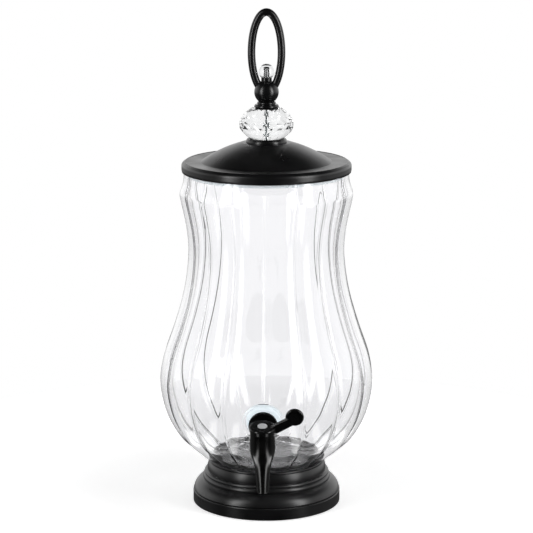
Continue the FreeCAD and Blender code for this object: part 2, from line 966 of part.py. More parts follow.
valve_axis = SPIGOT_FRAME.multVec(Vector(0, -barrel_reach, 0))
valve_up = SPIGOT_FRAME.Rotation.multVec(UP)
print("jar top", round(jar_top, 3), "brim top", round(brim_top, 3))
print("boss face", SPIGOT_FRAME.Base, "valve axis through", valve_axis, "along", valve_up)
print("ring centre", round(ring_centre, 3), "ball centre", round(ball_centre, 3))
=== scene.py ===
# %% [markdown]
# # A footed glass drink dispenser
# A fluted glass jar stands on a stepped black base. A domed black lid closes it, with a cut
# crystal bead and a tall ring to lift it by, and a quarter-turn spigot pours from its foot.
# The engineering model gives every piece its size and place. This lesson gives each one its
# surface, makes the glass jar again in one piece, and lights them all in a white studio.

# %% Load the engineering model
import bpy
import math
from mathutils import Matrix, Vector


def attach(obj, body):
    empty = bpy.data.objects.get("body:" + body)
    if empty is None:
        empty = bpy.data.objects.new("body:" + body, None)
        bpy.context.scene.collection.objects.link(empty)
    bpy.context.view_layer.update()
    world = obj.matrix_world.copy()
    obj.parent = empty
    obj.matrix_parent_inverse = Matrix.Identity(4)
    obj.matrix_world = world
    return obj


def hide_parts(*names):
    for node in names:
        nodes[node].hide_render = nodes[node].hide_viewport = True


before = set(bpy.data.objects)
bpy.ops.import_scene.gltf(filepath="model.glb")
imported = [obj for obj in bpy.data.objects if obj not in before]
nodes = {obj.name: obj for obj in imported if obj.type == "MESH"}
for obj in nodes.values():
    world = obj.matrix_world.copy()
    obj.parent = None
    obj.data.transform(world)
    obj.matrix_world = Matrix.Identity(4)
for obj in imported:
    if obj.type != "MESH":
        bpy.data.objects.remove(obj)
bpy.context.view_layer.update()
print("pieces in the model:", len(nodes))

# %% [markdown]
# ## The camera
# A product shot is taken from a few paces away with a long lens, so that the sides of the
# jar stay parallel. A short lens close by would make the belly bulge towards it. The lens
# looks down by twelve degrees, which opens the lid's brim and the base's steps into slim
# ellipses. Depth of field stays off, so that all of it is sharp.

# %% Camera
LOOK_DOWN = math.radians(12.0)
TURN = math.radians(1.7)
STAND_OFF = 2.3828  # metres, as are the next two
CAMERA_HEIGHT = 0.7665
NEAREST_SEEN = 0.05
LENS = 153.3  # millimetres, as is the sensor
SENSOR_WIDTH = 36.0

lens = bpy.data.cameras.new("camera")
lens.lens = LENS
lens.sensor_width = SENSOR_WIDTH
lens.clip_start = NEAREST_SEEN
camera = bpy.data.objects.new("camera", lens)
bpy.context.scene.collection.objects.link(camera)
camera.location = (STAND_OFF * math.sin(TURN), -STAND_OFF * math.cos(TURN), CAMERA_HEIGHT)
camera.rotation_euler = (math.pi / 2 - LOOK_DOWN, 0.0, TURN)
bpy.context.scene.camera = camera
bpy.context.scene.view_settings.view_transform = "Standard"
print("camera at", [round(c, 3) for c in camera.location])

# %% [markdown]
# ## Arithmetic with nodes
# Finishes and studio light are both small sums made of nodes: multiply two values, or let
# one fade while another one rises. The nodes could be added one by one, as in the shader
# editor. Four helpers do it here, so that each sum below reads as one line. A Map Range
# node does most of the work: it turns one span of numbers into another one, either in a
# straight line or in a soft curve.

# %% Helpers for nodes
STRAIGHT = "LINEAR"
SOFT = "SMOOTHSTEP"


def feed(tree, socket, value):
    """Sets a plain number on a socket, or links another node's output to it."""
    if isinstance(value, float):
        socket.default_value = value
    else:
        tree.links.new(value, socket)


def maths(tree, operation, *values):
    step = tree.nodes.new("ShaderNodeMath")
    step.operation = operation
    for socket, value in zip(step.inputs, values):
        feed(tree, socket, value)
    return step.outputs["Value"]


def fade(tree, value, start, end, low, high, curve=SOFT):
    """Goes from low to high while the value goes from start to end."""
    step = tree.nodes.new("ShaderNodeMapRange")
    step.interpolation_type = curve
    step.inputs["From Min"].default_value = start
    step.inputs["From Max"].default_value = end
    step.inputs["To Min"].default_value = low
    step.inputs["To Max"].default_value = high
    tree.links.new(value, step.inputs["Value"])
    return step.outputs["Result"]


def place_in(tree, kind):
    """X, Y and Z of a place on a piece (Object), or of a direction in the room (Generated)."""
    place = tree.nodes.new("ShaderNodeTexCoord")
    parts = tree.nodes.new("ShaderNodeSeparateXYZ")
    tree.links.new(place.outputs[kind], parts.inputs["Vector"])
    return parts.outputs


print("curves for a fade:", STRAIGHT, SOFT)

# %% [markdown]
# ## A finish and its noise
# A real surface is never one even colour. Each finish below starts from Blender's
# Principled shader, and noise then breaks it up. A scanned image could do that too, but
# noise has no seams and needs no file. It is taken in the piece's own Object coordinates,
# which are metres here, so a noise scale of 1000 makes grains about a millimetre across.

# %% A finish and its noise
def new_finish(name, colour, roughness, metallic=0.0):
    material = bpy.data.materials.new(name)
    material.use_nodes = True
    shader = material.node_tree.nodes["Principled BSDF"]
    shader.inputs["Base Color"].default_value = (*colour, 1.0)
    shader.inputs["Roughness"].default_value = roughness
    shader.inputs["Metallic"].default_value = metallic
    return material, shader


def noise(material, scale, detail=2.0, squeeze=(1.0, 1.0, 1.0)):
    """Noise that is fixed to the piece, by its own coordinates, and squeezed along any axis."""
    tree = material.node_tree
    place = tree.nodes.new("ShaderNodeTexCoord")
    squeezed = tree.nodes.new("ShaderNodeMapping")
    squeezed.inputs["Scale"].default_value = squeeze
    grain = tree.nodes.new("ShaderNodeTexNoise")
    grain.inputs["Scale"].default_value = scale
    grain.inputs["Detail"].default_value = detail
    tree.links.new(place.outputs["Object"], squeezed.inputs["Vector"])
    tree.links.new(squeezed.outputs["Vector"], grain.inputs["Vector"])
    return grain.outputs["Fac"]


# %% [markdown]
# ## What noise does to a finish
# Noise can vary a finish's roughness or its colour, or rise as a very fine relief. It sits
# mostly between 0.3 and 0.7, and that span is spread from one end of the finish to the
# other. The relief could be real geometry, but grains this small would need millions of
# faces, so a Bump node bends the light as they would.

# %% What noise does to a finish
NOISE_SPAN = (0.3, 0.7)


def vary_roughness(material, shader, value, low, high):
    tree = material.node_tree
    tree.links.new(fade(tree, value, *NOISE_SPAN, low, high, STRAIGHT), shader.inputs["Roughness"])


def vary_colour(material, shader, value, dark, light):
    tree = material.node_tree
    blend = tree.nodes.new("ShaderNodeMix")
    blend.data_type = "RGBA"
    blend.inputs["A"].default_value = (*dark, 1.0)
    blend.inputs["B"].default_value = (*light, 1.0)
    share = fade(tree, value, *NOISE_SPAN, 0.0, 1.0, STRAIGHT)
    tree.links.new(share, blend.inputs["Factor"])
    tree.links.new(blend.outputs["Result"], shader.inputs["Base Color"])


def relief(material, shader, value, height, under=None):
    """Bumps of a real height in metres. One relief can lie on another one."""
    tree = material.node_tree
    bump = tree.nodes.new("ShaderNodeBump")
    bump.inputs["Distance"].default_value = height
    bump.inputs["Strength"].default_value = 1.0
    tree.links.new(value, bump.inputs["Height"])
    if under is not None:
        tree.links.new(under, bump.inputs["Normal"])
    tree.links.new(bump.outputs["Normal"], shader.inputs["Normal"])
    return bump.outputs["Normal"]


# %% [markdown]
# ## Dressing the pieces
# Every piece of the engineering model comes with a material slot that all its faces use. A
# finish could be added as a second material, but no face would wear it. So it goes into the
# slot that is there, and nothing else of the piece changes.

# %% Dressing the pieces
def dress(material, *names):
    """Gives a finish to pieces of the engineering model through their material slots."""
    for name in names:
        for slot in nodes[name].material_slots:
            slot.material = material
    print(material.name, "on", ", ".join(names))


# %% [markdown]
# ## Satin black paint
# The base, the lid and the finial are pressed, spun and turned metal under one coat of
# satin black paint. The paint is nearly black and smooth enough to hold soft streaks of the
# studio lamps. One even roughness would make it look like plastic, so three noises are
# used: a broad one makes the sheen drift a little, a finer one raises the orange-peel skin
# that sprayed paint dries with, and the finest lays a faint grain on that skin. The small
# turned pieces of the finial are a little glossier.

# %% Satin black paint
PAINT_BLACK = (0.004, 0.004, 0.0043)
PAINT_WORN = (0.007, 0.007, 0.0075)
PAINT_CLOUD = 40.0
ORANGE_PEEL = 320.0
PAINT_GRAIN = 1500.0
GRAIN_SHARE = 0.25


def satin_paint(name, sheen_low=0.27, sheen_high=0.36, skin=0.000012):
    material, shader = new_finish(name, PAINT_BLACK, sheen_low)
    cloud = noise(material, PAINT_CLOUD, detail=3.0)
    vary_colour(material, shader, cloud, PAINT_BLACK, PAINT_WORN)
    vary_roughness(material, shader, cloud, sheen_low, sheen_high)
    peel = relief(material, shader, noise(material, ORANGE_PEEL), skin)
    relief(material, shader, noise(material, PAINT_GRAIN), skin * GRAIN_SHARE, under=peel)
    return material


base_paint = satin_paint("base_satin_black")
lid_paint = satin_paint("lid_satin_black")
finial_paint = satin_paint("finial_satin_black", sheen_low=0.22, sheen_high=0.3, skin=0.000002)
dress(base_paint, "base_shell")
dress(lid_paint, "lid_shell")
dress(finial_paint, "finial_cup", "finial_collar", "finial_ball", "ring_handle", "bead_seat")

# %% [markdown]
# ## Moulded black plastic
# The spigot's body and its lever are injection moulded and glossier than the paint. Moulded
# plastic shows hardly any grain, only slow waves from the way it shrinks in the mould, so
# the relief is broad and very low. The nut inside the jar and the collar that carries the
# gasket are the same plastic with a duller skin.

# %% Moulded black plastic
MOULDED_BLACK = (0.0035, 0.0035, 0.0035)
MOULDED_GREY = (0.006, 0.006, 0.006)
MOULD_CLOUD = 90.0
MOULD_WAVE = 120.0
MOULD_WAVE_HEIGHT = 0.00002


def moulded_plastic(name, gloss_low, gloss_high):
    material, shader = new_finish(name, MOULDED_BLACK, gloss_low)
    cloud = noise(material, MOULD_CLOUD)
    vary_colour(material, shader, cloud, MOULDED_BLACK, MOULDED_GREY)
    vary_roughness(material, shader, cloud, gloss_low, gloss_high)
    relief(material, shader, noise(material, MOULD_WAVE), MOULD_WAVE_HEIGHT)
    return material


dress(moulded_plastic("spigot_moulded_black", 0.16, 0.24), "spigot_body")
dress(moulded_plastic("lever_moulded_black", 0.16, 0.24), "spigot_lever")
dress(moulded_plastic("lock_nut_moulded_black", 0.28, 0.4), "lock_nut")
dress(moulded_plastic("lid_collar_moulded_black", 0.35, 0.45), "lid_collar")

# %% [markdown]
# ## Foam and rubber
# The foot pad and the seat under the jar are black foam rubber with open pores, so one noise
# with fine grains gives them their colour, their roughness and deep pits at once. The washer
# outside the jar and the two O-rings are smooth black rubber, with only a faint bloom of
# lighter grey on it.

# %% Foam and rubber
FOAM_DARK = (0.014, 0.014, 0.014)
FOAM_LIGHT = (0.035, 0.035, 0.035)
FOAM_PORES = 1100.0
PORE_DEPTH = 0.00015
RUBBER_BLOOM = 260.0
BLOOM_HEIGHT = 0.00003


def foam_rubber(name):
    material, shader = new_finish(name, FOAM_DARK, 0.85)
    pores = noise(material, FOAM_PORES, detail=4.0)
    vary_colour(material, shader, pores, FOAM_DARK, FOAM_LIGHT)
    vary_roughness(material, shader, pores, 0.78, 0.95)
    relief(material, shader, pores, PORE_DEPTH)
    return material


def smooth_rubber(name, dark, light, rough_low, rough_high):
    material, shader = new_finish(name, dark, rough_low)
    bloom = noise(material, RUBBER_BLOOM, detail=3.0)
    vary_colour(material, shader, bloom, dark, light)
    vary_roughness(material, shader, bloom, rough_low, rough_high)
    relief(material, shader, bloom, BLOOM_HEIGHT)
    return material, shader


dress(foam_rubber("pad_foam_rubber"), "base_pad")
dress(foam_rubber("seat_foam_rubber"), "seat_pad")
washer_rubber, _ = smooth_rubber("washer_black_rubber", (0.012,) * 3, (0.022,) * 3, 0.45, 0.6)
dress(washer_rubber, "outer_washer")
ring_rubber, _ = smooth_rubber("o_ring_black_rubber", (0.01,) * 3, (0.02,) * 3, 0.3, 0.45)
dress(ring_rubber, "valve_o_rings")

# %% [markdown]
# ## Milky silicone
# The lid's gasket and the washer inside the jar are milky silicone. Real silicone gathers light and
# scatters it inside, so it stays pale even under the lid. Subsurface scattering could do that, but
# it is slow behind clear glass. Here a share of the light passes straight through, and a painted
# glow stands in for what the silicone gathers: a little light of its own, though the silicone is no
# lamp.

# %% Milky silicone
SILICONE_DARK = (0.84, 0.89, 0.91)
SILICONE_LIGHT = (0.91, 0.94, 0.95)
SILICONE_GLOW = (0.84, 0.93, 0.97)
SILICONE_IOR = 1.41


def milky_silicone(name, clearness, painted_glow):
    material, shader = smooth_rubber(name, SILICONE_DARK, SILICONE_LIGHT, 0.25, 0.4)
    shader.inputs["Transmission Weight"].default_value = clearness
    shader.inputs["IOR"].default_value = SILICONE_IOR
    # Painted glow: the silicone gives off light of its own, though it is no lamp.
    shader.inputs["Emission Color"].default_value = (*SILICONE_GLOW, 1.0)
    shader.inputs["Emission Strength"].default_value = painted_glow
    return material


dress(milky_silicone("gasket_milky_silicone", 0.5, 0.1), "lid_gasket")
dress(milky_silicone("washer_milky_silicone", 0.3, 0.4), "inner_washer")

# %% [markdown]
# ## Bare metal
# The washer and the nut under the lid and the lever's screw are zinc-plated steel with fine
# turning marks. An image of scratches could give these, but noise that is squeezed along one
# axis does too: its grains become rings round the piece. The rod through the crystal is dark
# steel. The closing plate in the foot is rolled steel, with straight marks. The cap on the
# lever is satin chrome. It is only partly metallic in the shader, so that it keeps a pale
# grey of its own where it mirrors a dark room.

# %% Bare metal
ZINC = (0.62, 0.63, 0.65)
DARK_STEEL = (0.09, 0.1, 0.1)
ROLLED_STEEL = (0.5, 0.5, 0.51)
CHROME = (0.93, 0.94, 0.95)
CHROME_METALLIC = 0.45
TURNED_MARKS = (1.0, 1.0, 12.0)
ROLLED_MARKS = (1.0, 18.0, 1.0)
NO_MARKS = (1.0, 1.0, 1.0)
METAL_GRAIN = 420.0
TOOL_MARK_DEPTH = 0.00001


def bare_metal(name, colour, rough_low, rough_high, marks=TURNED_MARKS, metallic=1.0):
    material, shader = new_finish(name, colour, rough_low, metallic)
    grain = noise(material, METAL_GRAIN, detail=3.0, squeeze=marks)
    vary_roughness(material, shader, grain, rough_low, rough_high)
    relief(material, shader, grain, TOOL_MARK_DEPTH)
    return material


dress(bare_metal("zinc_plated_steel", ZINC, 0.22, 0.38), "lid_washer", "lid_nut")
dress(bare_metal("rod_dark_steel", DARK_STEEL, 0.3, 0.45), "finial_rod")
dress(bare_metal("screw_steel", ZINC, 0.2, 0.32), "lever_screw")
dress(bare_metal("plate_rolled_steel", ROLLED_STEEL, 0.3, 0.5, ROLLED_MARKS), "base_plate")
satin_chrome = bare_metal("button_satin_chrome", CHROME, 0.3, 0.45, NO_MARKS, CHROME_METALLIC)
dress(satin_chrome, "lever_button")

# %% [markdown]
# ## The white valve
# The valve plug is turned from white acetal, a dense, slightly waxy plastic. It could share
# the metal's marks, but a cutting tool leaves wider rings in plastic, so its noise is
# squeezed less. A plain white would look like paper, so the rings also vary its colour.

# %% The white valve
ACETAL = (0.78, 0.78, 0.76)
ACETAL_DARK = (0.74, 0.74, 0.72)
ACETAL_LIGHT = (0.82, 0.82, 0.80)
ACETAL_GRAIN = 500.0
ACETAL_RINGS = (1.0, 1.0, 6.0)

acetal, acetal_shader = new_finish("valve_white_acetal", ACETAL, 0.35)
rings = noise(acetal, ACETAL_GRAIN, squeeze=ACETAL_RINGS)
vary_colour(acetal, acetal_shader, rings, ACETAL_DARK, ACETAL_LIGHT)
vary_roughness(acetal, acetal_shader, rings, 0.3, 0.42)
relief(acetal, acetal_shader, rings, TOOL_MARK_DEPTH)
dress(acetal, "valve_plug")

# %% [markdown]
# ## Clear glass
# Glass is the Principled shader with full transmission. Handling leaves it a little less
# than perfectly smooth, so noise spreads its roughness over a very small range, and a slow
# wave bends what one sees through it a little. Blender's Glass shader could do the same, but
# a model that leaves Blender keeps only what the Principled shader says.

# %% Clear glass
GLASS_SMEARS = 35.0
GLASS_WAVE = 28.0


def clear_glass(name, tint, ior, wave_height, smear_high):
    """The material, its shader, and its wave for another relief to lie on."""
    material, shader = new_finish(name, tint, 0.0)
    shader.inputs["Transmission Weight"].default_value = 1.0
    shader.inputs["IOR"].default_value = ior
    vary_roughness(material, shader, noise(material, GLASS_SMEARS, detail=3.0), 0.0, smear_high)
    wave = relief(material, shader, noise(material, GLASS_WAVE, detail=1.0), wave_height)
    return material, shader, wave


# %% [markdown]
# ## A line through rows
# The jar is pressed into a mould with sixteen flutes. At its crests it is a turned shape:
# half of its outline, spun about the axis. The outline could be a curve with handles, but
# here it is a smooth spline through rows of numbers, so that the wall follows the
# engineering model row by row. The inside of the wall is the same line, set in by the
# glass's thickness.

# %% Helpers for the outline
def through_rows(rows, steps):
    """A smooth spline through rows of numbers: each row keeps its place on the line."""
    first = [2 * a - b for a, b in zip(rows[0], rows[1])]
    last = [2 * a - b for a, b in zip(rows[-1], rows[-2])]
    padded = [first] + [list(row) for row in rows] + [last]
    line = []
    for before, start, end, after in zip(padded, padded[1:], padded[2:], padded[3:]):
        for step in range(steps):
            t = step / steps
            line.append([
                0.5 * (2 * q + (r - p) * t + (2 * p - 5 * q + 4 * r - s) * t * t
                       + (3 * q - p - 3 * r + s) * t ** 3)
                for p, q, r, s in zip(before, start, end, after)
            ])
    return line + [list(rows[-1])]


def set_in(line, distance):
    """The same line, moved in by a distance at right angles to itself."""
    moved = []
    for k, (height, radius, crease) in enumerate(line):
        low, high = line[max(k - 1, 0)], line[min(k + 1, len(line) - 1)]
        rise, run = high[0] - low[0], high[1] - low[1]
        length = math.hypot(rise, run)
        row = (height + distance * run / length, radius - distance * rise / length, crease)
        moved.append(row)
    return moved


# %% [markdown]
# ## The jar's outline
# A row holds a height and a radius in millimetres above the foot. Its third number is how
# deep the crease between two flutes is there: nothing at the rim, and most at the belly. The
# foot, the rim and the inner floor have no flutes, so their points are heights and radii
# alone. The bend into the floor is measured from the lowest point of the wall's inside.

# %% The jar's outline
MM = 0.001
FOOT_HEIGHT = 0.0395  # metres: how high the jar's foot sits in the base
GLASS_WALL = 4.2  # millimetres, as are the outline's other numbers
JAR_FLOOR = 13.5
JAR_HEIGHT = 332.2
CLEAR_OF_FLOOR = 1.5
CLEAR_OF_RIM = 2.0
STEPS_PER_ROW = 5
WALL_ROWS = [
    (8.5, 59.5, 0.4), (14.4, 70.2, 2.0), (22.6, 80.3, 2.6), (32.5, 91.3, 3.0),
    (44.5, 99.8, 3.1), (60.7, 108.0, 3.2), (80.6, 113.6, 3.2), (100.5, 115.5, 3.2),
    (125.4, 111.4, 3.1), (155.6, 101.0, 2.9), (185.5, 92.0, 2.7), (210.4, 86.8, 2.5),
    (237.6, 84.1, 2.4), (260.5, 85.3, 2.3), (280.4, 88.9, 2.2), (292.4, 91.6, 2.1),
    (301.5, 93.0, 2.0), (308.5, 90.8, 1.4), (316.5, 88.7, 0.8), (JAR_HEIGHT, 87.8, 0.0),
]
FOOT = [(3.2, 0.0), (3.2, 44.0), (2.9, 47.6), (1.0, 49.0), (0.25, 50.0), (0.0, 51.5),
        (0.0, 56.6), (0.35, 58.2), (1.2, 59.0), (2.4, 59.2), (7.6, 59.2)]
RIM = [(331.5, 87.75), (332.1, 87.3), (332.2, 86.6), (332.2, 84.9), (332.1, 84.1),
       (331.4, 83.65)]
FLOOR_BEND = [(0.5, 3.2), (0.1, 5.0), (0.0, 7.5)]
FLAT_FLOOR = [(JAR_FLOOR, 30.0), (JAR_FLOOR, 0.0)]

outer_line = through_rows(WALL_ROWS, STEPS_PER_ROW)
inner_line = [row for row in set_in(outer_line, GLASS_WALL)
              if JAR_FLOOR + CLEAR_OF_FLOOR < row[0] < JAR_HEIGHT - CLEAR_OF_RIM]
floor_edge = [(JAR_FLOOR + rise, inner_line[0][1] - inwards) for rise, inwards in FLOOR_BEND]
half_outline = FOOT + [row[:2] for row in outer_line[:-1]] + RIM
half_outline += [row[:2] for row in reversed(inner_line)] + floor_edge + FLAT_FLOOR
print("points on the jar's half outline:", len(half_outline))

# %% [markdown]
# ## Spinning the jar
# One corner is extruded from point to point to draw the half outline, and the outline is
# spun once round the axis. A Screw modifier could do the same. Spinning in edit mode leaves
# real faces at once, and two sets of corners where it starts and ends, so these are merged.
# The faces are then turned to look outwards.

# %% Spinning the jar
FLUTES = 16
COLUMNS_PER_FLUTE = 20
COLUMNS = FLUTES * COLUMNS_PER_FLUTE
MERGE_WITHIN = 0.000002


def nothing_selected():
    bpy.ops.object.select_all(action="DESELECT")


def turn_on_axis(name, outline, columns):
    """A turned piece from (height, radius) points in millimetres above the floor."""
    nothing_selected()
    bpy.ops.mesh.primitive_plane_add(size=MM, location=(0.0, 0.0, 0.0))
    piece = bpy.context.object
    piece.name = name
    bpy.ops.object.mode_set(mode="EDIT")
    bpy.ops.mesh.merge(type="CENTER")
    spots = [Vector((radius * MM, 0.0, height * MM)) for height, radius in outline]
    bpy.ops.transform.translate(value=spots[0])
    for start, end in zip(spots, spots[1:]):
        bpy.ops.mesh.extrude_region_move(TRANSFORM_OT_translate={"value": end - start})
    bpy.ops.mesh.select_all(action="SELECT")
    bpy.ops.mesh.spin(steps=columns, angle=2 * math.pi,
                      center=(0.0, 0.0, 0.0), axis=(0.0, 0.0, 1.0))
    bpy.ops.mesh.select_all(action="SELECT")
    bpy.ops.mesh.remove_doubles(threshold=MERGE_WITHIN)
    bpy.ops.mesh.normals_make_consistent(inside=False)
    bpy.ops.object.mode_set(mode="OBJECT")
    return piece


jar = turn_on_axis("fluted_jar", [(h + FOOT_HEIGHT / MM, r) for h, r in half_outline], COLUMNS)
print("jar faces after the spin:", len(jar.data.polygons))

# %% [markdown]
# ## The shape of a flute
# Each flute is an arc that stands out between two creases. Waves from a sine would be round
# at both ends, but a pressed flute is round at its crest and sharp in its crease, so it is
# an arc of a circle here. Inside the jar every crease becomes a ridge, and a ridge of poured
# glass is never sharp, so the same arc ends in a rounded top there.

# %% The shape of a flute
CREST, VALLEY = 115.5, 112.3  # radii where the jar is widest
HALF_FLUTE = math.pi / FLUTES
RIDGE_START = 0.78  # how far along the arc the rounding starts, inside the jar

arc_centre = (CREST ** 2 - VALLEY ** 2) / (2 * (CREST - VALLEY * math.cos(HALF_FLUTE)))
arc_radius = CREST - arc_centre


def flute_share(angle):
    """How far the arc of a flute lies below its crest, as a share of the crease's depth."""
    off_crest = (angle + math.pi / 2) % (2 * HALF_FLUTE) - HALF_FLUTE
    reach = arc_centre * math.cos(off_crest)
    reach += math.sqrt(arc_radius ** 2 - (arc_centre * math.sin(off_crest)) ** 2)
    return (CREST - reach) / (CREST - VALLEY)


def soft_ridge(share):
    """The same share inside the jar, where each ridge is rounded instead of sharp."""
    past = math.sqrt(share) - RIDGE_START
    if past <= 0.0:
        return share
    return RIDGE_START ** 2 + 2 * RIDGE_START * past - RIDGE_START / (1 - RIDGE_START) * past ** 2


print("radius of a flute's arc:", round(arc_radius, 1), "mm")

# %% [markdown]
# ## Finding the wall's corners
# The next two steps work on the fluted wall alone. Its corners could be picked by hand, but
# there are tens of thousands of them, so they are found by their place: a corner belongs to
# the wall where the outline has a row at its height and the corner lies near that row.

# %% Finding the wall's corners
WALL_ZONE = GLASS_WALL * 3  # corners further in belong to the jar's floor


def at_height(line, height, column):
    """A row's number at any height, in a straight line between the two rows next to it."""
    for low, high in zip(line, line[1:]):
        if low[0] <= height <= high[0]:
            share = (height - low[0]) / (high[0] - low[0])
            return low[column] + (high[column] - low[column]) * share
    return None


def wall_corners(piece):
    """For each corner of the fluted wall: its number, radius, crest, crease and flute share."""
    for corner in piece.data.vertices:
        height = (corner.co.z - FOOT_HEIGHT) / MM
        radius = math.hypot(corner.co.x, corner.co.y) / MM
        crest = at_height(outer_line, height, 1)
        if crest is not None and radius >= crest - WALL_ZONE:
            crease = at_height(outer_line, height, 2)
            share = flute_share(math.atan2(corner.co.y, corner.co.x))
            yield corner.index, radius, crest, crease, share


# %% [markdown]
# ## Pressing the flutes
# The flutes could be drawn into the outline's columns one by one. It is easier to press them
# into the turned jar: every corner of the mesh gets a weight, from 0 on a crest to 1 in the
# deepest crease, and a Displace modifier pushes the wall in by that share of the crease's
# depth. Inside, the flutes are nearly as deep, so the wall keeps its thickness and the jar
# stays clear, without strong lenses in it.

# %% Pressing the flutes
DEEPEST = 3.2
INNER_SHARE = 0.95
OUTSIDE_ZONE = 0.5  # corners this close to the crests are on the outside


def only_selected(piece):
    nothing_selected()
    piece.select_set(True)
    bpy.context.view_layer.objects.active = piece


def apply_modifiers(piece):
    only_selected(piece)
    for modifier in list(piece.modifiers):
        bpy.ops.object.modifier_apply(modifier=modifier.name)


def press_flutes(piece):
    outside = piece.vertex_groups.new(name="outside")
    inside = piece.vertex_groups.new(name="inside")
    for number, radius, crest, crease, share in wall_corners(piece):
        crease = max(crease, 0.0)
        if radius > crest - OUTSIDE_ZONE:
            outside.add([number], share * crease / DEEPEST, "REPLACE")
        else:
            inside.add([number], soft_ridge(share) * crease / DEEPEST, "REPLACE")
    for name, depth in (("outside", -DEEPEST), ("inside", DEEPEST * INNER_SHARE)):
        press = piece.modifiers.new(name, "DISPLACE")
        press.vertex_group = name
        press.mid_level = 0.0
        press.strength = depth * MM
    apply_modifiers(piece)


press_flutes(jar)
print("jar is", round(jar.dimensions.x / MM, 1), "mm across its flutes")

# %% [markdown]
# ## Rounding the creases
# Poured glass never fills a perfectly sharp corner. Edges could be picked one by one and
# bevelled in edit mode, but a vertex group finds them by their shape: it holds the corners
# at the bottom of every crease on the outside, and a Bevel modifier rounds the lines between
# them. The ridges inside are round already.

# %% Rounding the creases
CREASE_ROUND = 0.6
CREASE_BOTTOM = 0.97  # the share of its depth from which a crease is rounded
SHALLOWEST = 0.7  # less deep creases stay as they are
PRESSED_ZONE = 1.0  # corners this close to the pressed wall are on the outside


def round_creases(piece):
    lines = piece.vertex_groups.new(name="creases")
    for number, radius, crest, crease, share in wall_corners(piece):
        outer_side = radius > crest - share * crease - PRESSED_ZONE
        if outer_side and share > CREASE_BOTTOM and crease > SHALLOWEST:
            lines.add([number], 1.0, "REPLACE")
    bevel = piece.modifiers.new("creases", "BEVEL")
    bevel.limit_method = "VGROUP"
    bevel.vertex_group = "creases"
    bevel.width = CREASE_ROUND * MM
    bevel.segments = 3
    apply_modifiers(piece)


round_creases(jar)
print("jar faces with round creases:", len(jar.data.polygons))

# %% [markdown]
# ## The spigot's seat
# A spigot needs a flat face to seal on, so the mould presses a round boss into the wall,
# flat outside and inside, and the hole is drilled through it. The boss could be shaped out
# of the wall's own faces, but a circle doesn't fit their grid. So two short cylinders are
# joined to the wall and a third is cut out of it, with Boolean modifiers.

# %% The spigot's seat
SEAT_MIDDLE = Vector((0.0, -0.113769, 0.116835))
SEAT_LEAN = math.radians(14.0)
INWARDS = Vector((0.0, math.cos(SEAT_LEAN), math.sin(SEAT_LEAN)))
BOSS_RADIUS = 21.8
INNER_BOSS_RADIUS = 18.5
SPIGOT_HOLE_RADIUS = 8.2
ROUND_STEPS = 128


def cylinder_through_seat(radius, start, end, edge=0.0):
    """A cylinder along the spigot's axis, from start to end in millimetres into the jar."""
    nothing_selected()
    middle = SEAT_MIDDLE + INWARDS * (start + end) / 2 * MM
    bpy.ops.mesh.primitive_cylinder_add(
        vertices=ROUND_STEPS, radius=radius * MM, depth=(end - start) * MM,
        location=middle, rotation=(SEAT_LEAN - math.pi / 2, 0.0, 0.0))
    plug = bpy.context.object
    if edge:
        bevel = plug.modifiers.new("edge", "BEVEL")
        bevel.width = edge * MM
        bevel.segments = 4
        bevel.limit_method = "ANGLE"
        apply_modifiers(plug)
    return plug


def combine(piece, operation, tool):
    join = piece.modifiers.new(operation.lower(), "BOOLEAN")
    join.operation = operation
    join.solver = "EXACT"
    join.object = tool
    apply_modifiers(piece)
    bpy.data.objects.remove(tool)


combine(jar, "UNION", cylinder_through_seat(BOSS_RADIUS, 0.0, 5.0, edge=0.9))
combine(jar, "UNION", cylinder_through_seat(INNER_BOSS_RADIUS, 2.0, 8.5, edge=0.5))
combine(jar, "DIFFERENCE", cylinder_through_seat(SPIGOT_HOLE_RADIUS, -10.0, 20.0))
print("jar faces with the spigot's seat:", len(jar.data.polygons))

# %% [markdown]
# ## Soft shading
# The jar's faces are flat, but pressed glass is smooth, and in clear glass every flat face
# would show. More and smaller faces would help a little at a high price. Smooth shading
# hides them all, except where two faces meet at more than 28 degrees: that keeps the edges
# of the foot, the boss and the hole crisp.

# %% Soft shading
SOFT_ANGLE = math.radians(28.0)

only_selected(jar)
bpy.ops.object.shade_smooth_by_angle(angle=SOFT_ANGLE)
print("smooth faces:", sum(face.use_smooth for face in jar.data.polygons))

# %% [markdown]
# ## Marks of the mould
# A rounded crease bends light hard and looks like a thin dark line. The mesh alone draws
# that line only in places, so a Bump node adds a fine groove to every crease. An image could
# hold the grooves, but the creases lie at even angles about the axis, so a sum finds them:
# the angle, counted in flutes, goes up and down and is 0 on a crease. The groove fades out
# where the flutes end. Just over the base the glass is thick and rippled, so slow noise
# stands out there.

# %% Marks of the mould
GROOVE_HALF_WIDTH = 0.045
FLUTES_START, FLUTES_FULL = 0.041, 0.046
FLUTES_FADE, FLUTES_END = 0.352, 0.366
FOOT_RIPPLE = 2.0
RIPPLE_SCALE = 110.0
RIPPLE_FADE, RIPPLE_END = 0.046, 0.056


def crease_grooves(material):
    """1 in the middle of each crease and 0 beside it."""
    tree = material.node_tree
    place = place_in(tree, "Object")
    angle = maths(tree, "ARCTAN2", place["Y"], place["X"])
    in_flutes = maths(tree, "MULTIPLY", angle, FLUTES / (2 * math.pi))
    off_crease = maths(tree, "PINGPONG", in_flutes, 0.5)
    groove = fade(tree, off_crease, 0.0, GROOVE_HALF_WIDTH, 1.0, 0.0)
    above_foot = fade(tree, place["Z"], FLUTES_START, FLUTES_FULL, 0.0, 1.0, STRAIGHT)
    below_rim = fade(tree, place["Z"], FLUTES_FADE, FLUTES_END, 1.0, 0.0, STRAIGHT)
    return maths(tree, "MULTIPLY", maths(tree, "MULTIPLY", groove, above_foot), below_rim)


